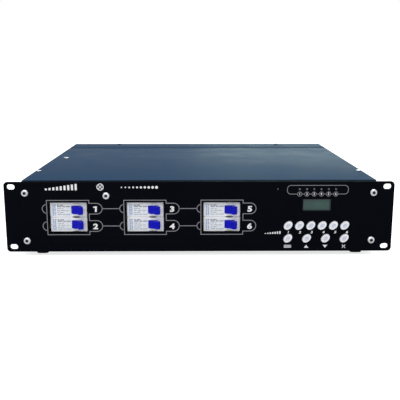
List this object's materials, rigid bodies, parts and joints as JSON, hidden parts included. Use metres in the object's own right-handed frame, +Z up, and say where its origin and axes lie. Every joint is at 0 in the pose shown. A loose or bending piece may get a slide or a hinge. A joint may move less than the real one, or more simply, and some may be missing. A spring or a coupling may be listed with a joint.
{
  "type": "dimmer pack",
  "caption": "Rack-mounted lighting dimmer with tilting circuit breaker levers, oval push keys, a small display, a cooled power section and rear sockets.",
  "frame": {"origin": "on the surface that the feet stand on, under the middle of the whole part's box", "axes": "+X to the right along the front panel, +Y from the front panel to the rear sockets, +Z up"},
  "size_m": [0.4826, 0.434, 0.0951],
  "materials": {
    "panel_black": "satin black powder coat",
    "case_blue": "satin slate blue paint",
    "steel": "zinc plated",
    "foot_rubber": "matt black",
    "breaker_white": "satin white moulding",
    "lever_blue": "royal blue moulding",
    "key_white": "pale lavender white",
    "lamp_grey": "clear lens, unlit",
    "lamp_red": "dark red lens, unlit",
    "display_green": "blank grey-green display",
    "board_green": "circuit board lacquer",
    "choke_copper": "enamelled copper winding",
    "aluminium": "plain extrusion and die casting",
    "black_plastic": "textured black moulding",
    "grey_plastic": "grey moulding"
  },
  "bodies": {
    "case": {"front_panel": "panel_black", "rear_panel": "panel_black", "chassis_tray": "case_blue", "top_cover": "case_blue", "wiring_cover": "case_blue", "divider_wall": "steel", "rail_bracket": "steel", "panel_screw_1": "steel", "panel_screw_2": "steel", "panel_screw_3": "steel", "panel_screw_4": "steel", "panel_screw_5": "steel", "foot_1": "foot_rubber", "foot_2": "foot_rubber", "foot_3": "foot_rubber", "foot_4": "foot_rubber", "breaker_1": "breaker_white", "breaker_2": "breaker_white", "breaker_3": "breaker_white", "breaker_4": "breaker_white", "breaker_5": "breaker_white", "breaker_6": "breaker_white", "channel_lamps": "lamp_grey", "status_lamp": "lamp_red", "display_module": "display_green", "control_board": "board_green", "power_board": "board_green", "choke_1": "choke_copper", "choke_2": "choke_copper", "choke_3": "choke_copper", "choke_4": "choke_copper", "choke_5": "choke_copper", "choke_6": "choke_copper", "heat_sink": "aluminium", "load_connector_housing": "aluminium", "fan_frame": "black_plastic", "supply_gland": "black_plastic", "signal_in_socket": "black_plastic", "signal_out_socket": "black_plastic", "supply_terminals": "grey_plastic", "load_connector_insert": "grey_plastic"},
    "lever_1": {"breaker_lever_1": "lever_blue"},
    "lever_2": {"breaker_lever_2": "lever_blue"},
    "lever_3": {"breaker_lever_3": "lever_blue"},
    "lever_4": {"breaker_lever_4": "lever_blue"},
    "lever_5": {"breaker_lever_5": "lever_blue"},
    "lever_6": {"breaker_lever_6": "lever_blue"},
    "channel_button_1_body": {"channel_button_1": "key_white"},
    "channel_button_2_body": {"channel_button_2": "key_white"},
    "channel_button_3_body": {"channel_button_3": "key_white"},
    "channel_button_4_body": {"channel_button_4": "key_white"},
    "channel_button_5_body": {"channel_button_5": "key_white"},
    "channel_button_6_body": {"channel_button_6": "key_white"},
    "menu_button_body": {"menu_button": "key_white"},
    "up_button_body": {"up_button": "key_white"},
    "down_button_body": {"down_button": "key_white"},
    "escape_button_body": {"escape_button": "key_white"},
    "rotor": {"fan_rotor": "black_plastic"},
    "locking_lever": {"load_connector_lever": "steel"},
    "latch": {"signal_out_latch": "steel"}
  },
  "joints": [
    {"name": "lever_1_tilt", "type": "hinge", "parent": "case", "child": "lever_1", "pos_m": [-0.1538, -0.20584, 0.05912], "axis": [0, 0, 1], "range_deg": [-76, 0]},
    {"name": "lever_2_tilt", "type": "hinge", "parent": "case", "child": "lever_2", "pos_m": [-0.1538, -0.20584, 0.04038], "axis": [0, 0, 1], "range_deg": [-76, 0]},
    {"name": "lever_3_tilt", "type": "hinge", "parent": "case", "child": "lever_3", "pos_m": [-0.0583, -0.20584, 0.05912], "axis": [0, 0, 1], "range_deg": [-76, 0]},
    {"name": "lever_4_tilt", "type": "hinge", "parent": "case", "child": "lever_4", "pos_m": [-0.0583, -0.20584, 0.04038], "axis": [0, 0, 1], "range_deg": [-76, 0]},
    {"name": "lever_5_tilt", "type": "hinge", "parent": "case", "child": "lever_5", "pos_m": [0.0372, -0.20584, 0.05912], "axis": [0, 0, 1], "range_deg": [-76, 0]},
    {"name": "lever_6_tilt", "type": "hinge", "parent": "case", "child": "lever_6", "pos_m": [0.0372, -0.20584, 0.04038], "axis": [0, 0, 1], "range_deg": [-76, 0]},
    {"name": "channel_button_1_press", "type": "slide", "parent": "case", "child": "channel_button_1_body", "axis": [0, 1, 0], "range_m": [0, 0.001], "stiffness_N_per_m": 600},
    {"name": "channel_button_2_press", "type": "slide", "parent": "case", "child": "channel_button_2_body", "axis": [0, 1, 0], "range_m": [0, 0.001], "stiffness_N_per_m": 600},
    {"name": "channel_button_3_press", "type": "slide", "parent": "case", "child": "channel_button_3_body", "axis": [0, 1, 0], "range_m": [0, 0.001], "stiffness_N_per_m": 600},
    {"name": "channel_button_4_press", "type": "slide", "parent": "case", "child": "channel_button_4_body", "axis": [0, 1, 0], "range_m": [0, 0.001], "stiffness_N_per_m": 600},
    {"name": "channel_button_5_press", "type": "slide", "parent": "case", "child": "channel_button_5_body", "axis": [0, 1, 0], "range_m": [0, 0.001], "stiffness_N_per_m": 600},
    {"name": "channel_button_6_press", "type": "slide", "parent": "case", "child": "channel_button_6_body", "axis": [0, 1, 0], "range_m": [0, 0.001], "stiffness_N_per_m": 600},
    {"name": "menu_button_press", "type": "slide", "parent": "case", "child": "menu_button_body", "axis": [0, 1, 0], "range_m": [0, 0.001], "stiffness_N_per_m": 600},
    {"name": "up_button_press", "type": "slide", "parent": "case", "child": "up_button_body", "axis": [0, 1, 0], "range_m": [0, 0.001], "stiffness_N_per_m": 600},
    {"name": "down_button_press", "type": "slide", "parent": "case", "child": "down_button_body", "axis": [0, 1, 0], "range_m": [0, 0.001], "stiffness_N_per_m": 600},
    {"name": "escape_button_press", "type": "slide", "parent": "case", "child": "escape_button_body", "axis": [0, 1, 0], "range_m": [0, 0.001], "stiffness_N_per_m": 600},
    {"name": "rotor_spin", "type": "hinge", "parent": "case", "child": "rotor", "pos_m": [0.2091, 0.08466, 0.0398], "axis": [1, 0, 0], "continuous": true},
    {"name": "locking_lever_swing", "type": "hinge", "parent": "case", "child": "locking_lever", "pos_m": [0.01, 0.20296, 0.048], "axis": [1, 0, 0], "range_deg": [0, 110]},
    {"name": "latch_press", "type": "slide", "parent": "case", "child": "latch", "axis": [0, 0, -1], "range_m": [0, 0.0012], "stiffness_N_per_m": 800}
  ]
}
